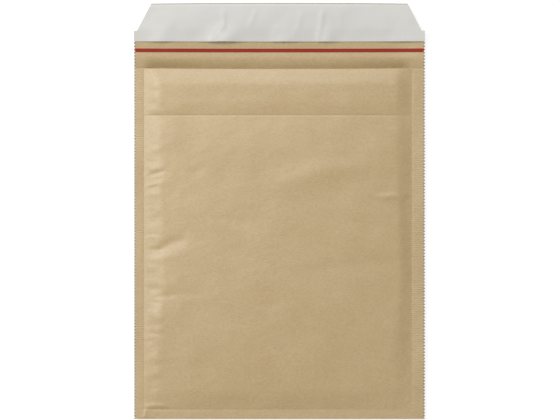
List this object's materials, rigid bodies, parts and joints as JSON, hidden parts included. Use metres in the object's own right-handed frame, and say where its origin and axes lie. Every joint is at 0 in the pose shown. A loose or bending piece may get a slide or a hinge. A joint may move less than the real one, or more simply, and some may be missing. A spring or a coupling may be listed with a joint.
{
  "type": "padded envelope",
  "caption": "Flat kraft mailing envelope, lined with bubble film and open at one end, with a tear tape and a release liner over the adhesive on its open flap.",
  "frame": {"origin": "centre of the bounding box in plan, on the surface that the envelope lies on", "axes": "+Y from the bottom fold to the flap's tip, +X to the right seen from the front, +Z from the back panel to the front panel"},
  "size_m": [0.28, 0.4, 0.0142],
  "materials": {
    "kraft_paper": "matt brown kraft paper, machine finished",
    "bubble_film": "clear polyethylene bubble film",
    "tear_tape": "red polypropylene tape",
    "hot_melt_adhesive": "pale amber pressure-sensitive hot melt",
    "release_paper": "pale grey siliconised release paper, satin"
  },
  "bodies": {
    "root": {"kraft_shell": "kraft_paper", "bubble_lining": "bubble_film", "tear_tape": "tear_tape", "adhesive_strip": "hot_melt_adhesive", "release_liner": "release_paper"}
  },
  "joints": []
}
